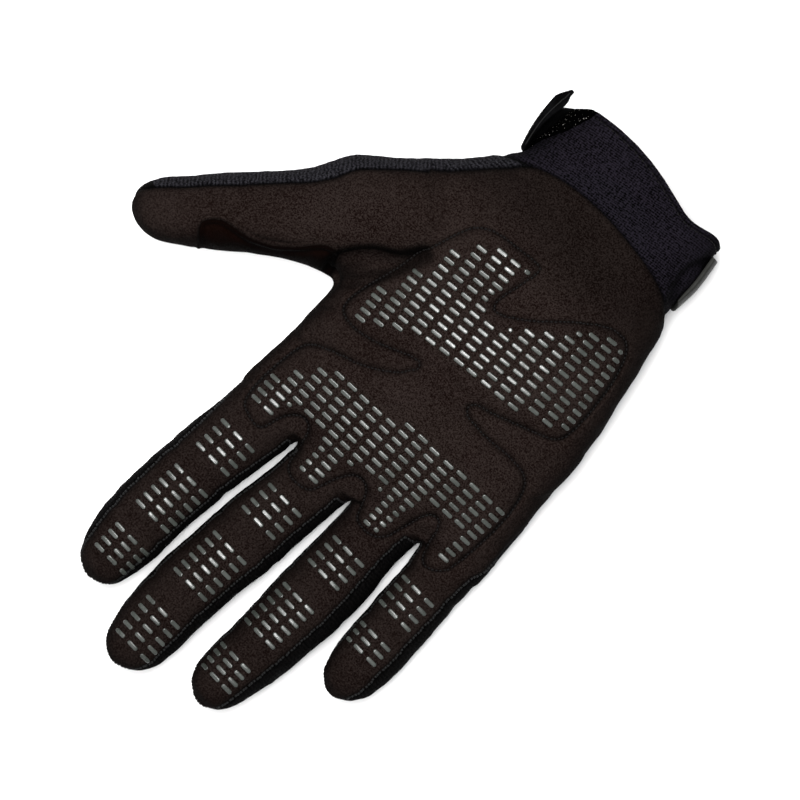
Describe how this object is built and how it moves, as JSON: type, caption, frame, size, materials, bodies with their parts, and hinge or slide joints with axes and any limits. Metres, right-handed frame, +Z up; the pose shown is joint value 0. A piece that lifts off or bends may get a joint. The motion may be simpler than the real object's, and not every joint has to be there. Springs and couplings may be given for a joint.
{
  "type": "motocross glove",
  "caption": "Right-hand full-finger motocross glove with padded suede palm, rubber grip dashes, ribbed knit back and a wrist strap.",
  "frame": {"origin": "centre of the bounding box, on the surface that the glove lies on, palm up", "axes": "+Y from the wrist to the fingertips, +X to the thumb's side, +Z up out of the palm"},
  "size_m": [0.1622, 0.2218, 0.0363],
  "materials": {
    "suede": "matt brushed microsuede",
    "rib_knit": "ribbed stretch knit",
    "cuff_knit": "smooth stretch knit",
    "strap_rubber": "satin moulded rubber",
    "grip_silicone": "glossy raised print",
    "thread": "twisted polyester thread",
    "loop_pile": "looped pile"
  },
  "bodies": {
    "root": {"palm_panel": "suede", "heel_pad": "suede", "knuckle_pad": "suede", "crease_pad_little": "suede", "crease_pad_thumb": "suede", "thumb_gusset": "suede", "side_strip_index_middle": "rib_knit", "side_strip_middle_ring": "rib_knit", "side_strip_ring_little": "rib_knit", "back_panel": "rib_knit", "cuff": "cuff_knit", "wrist_strap": "strap_rubber", "strap_tab": "strap_rubber", "loop_patch": "loop_pile"}
  },
  "joints": []
}
